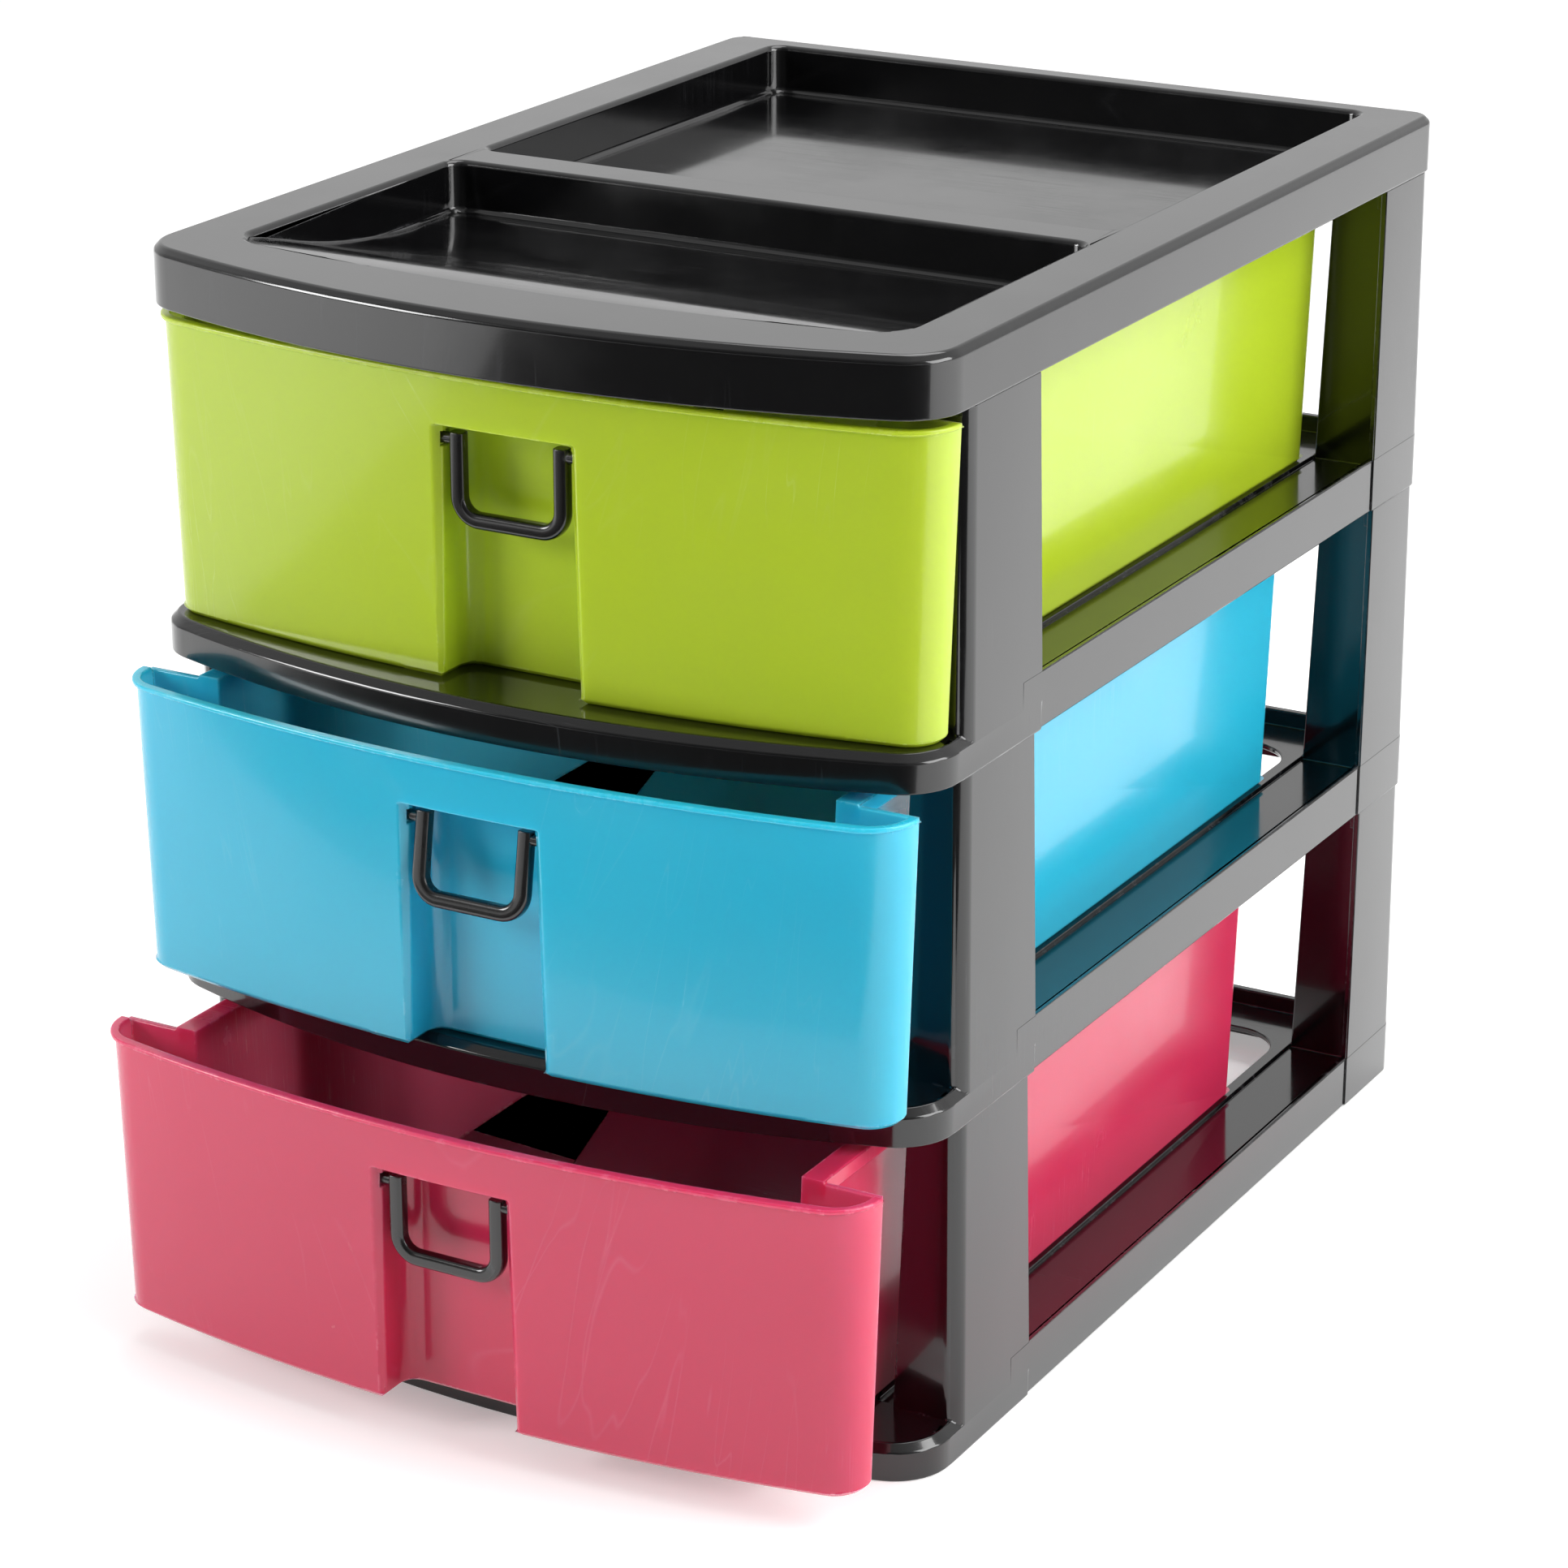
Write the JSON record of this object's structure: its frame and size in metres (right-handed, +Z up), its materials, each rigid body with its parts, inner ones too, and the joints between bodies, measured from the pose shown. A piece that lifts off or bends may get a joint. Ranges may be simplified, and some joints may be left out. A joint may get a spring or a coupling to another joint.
{
  "type": "plastic drawer tower",
  "caption": "Desktop tower of stacked open frames with coloured bow-fronted drawers on bail handles, under a cover with sunk trays",
  "frame": {"origin": "middle of the bounding box at table height, with the middle and bottom drawers pulled out as at rest", "axes": "X across the width, -Y out of the bowed front, +Y to the back, Z up"},
  "size_m": [0.26, 0.399, 0.333],
  "materials": {
    "black_plastic": "glossy moulded black",
    "green_plastic": "glossy moulded lime green",
    "blue_plastic": "glossy moulded sky blue",
    "pink_plastic": "glossy moulded raspberry pink"
  },
  "bodies": {
    "tower": {"frame_bottom": "black_plastic", "frame_middle": "black_plastic", "frame_top": "black_plastic", "top_cover": "black_plastic"},
    "top_drawer": {"drawer_top": "green_plastic"},
    "middle_drawer": {"drawer_middle": "blue_plastic"},
    "bottom_drawer": {"drawer_bottom": "pink_plastic"},
    "top_handle": {"handle_top": "black_plastic"},
    "middle_handle": {"handle_middle": "black_plastic"},
    "bottom_handle": {"handle_bottom": "black_plastic"}
  },
  "joints": [
    {"name": "bottom_drawer_slide", "type": "slide", "parent": "tower", "child": "bottom_drawer", "axis": [0, -1, 0], "range_m": [-0.041, 0.179]},
    {"name": "middle_drawer_slide", "type": "slide", "parent": "tower", "child": "middle_drawer", "axis": [0, -1, 0], "range_m": [-0.022, 0.198]},
    {"name": "top_drawer_slide", "type": "slide", "parent": "tower", "child": "top_drawer", "axis": [0, -1, 0], "range_m": [0, 0.22]},
    {"name": "bottom_handle_hinge", "type": "hinge", "parent": "bottom_drawer", "child": "bottom_handle", "pos_m": [0, -0.19285, 0.082], "axis": [-1, 0, 0], "range_deg": [-15, 110]},
    {"name": "middle_handle_hinge", "type": "hinge", "parent": "middle_drawer", "child": "middle_handle", "pos_m": [0, -0.17385, 0.187], "axis": [-1, 0, 0], "range_deg": [-24, 101]},
    {"name": "top_handle_hinge", "type": "hinge", "parent": "top_drawer", "child": "top_handle", "pos_m": [0, -0.15185, 0.292], "axis": [-1, 0, 0], "range_deg": [-15, 110]}
  ]
}
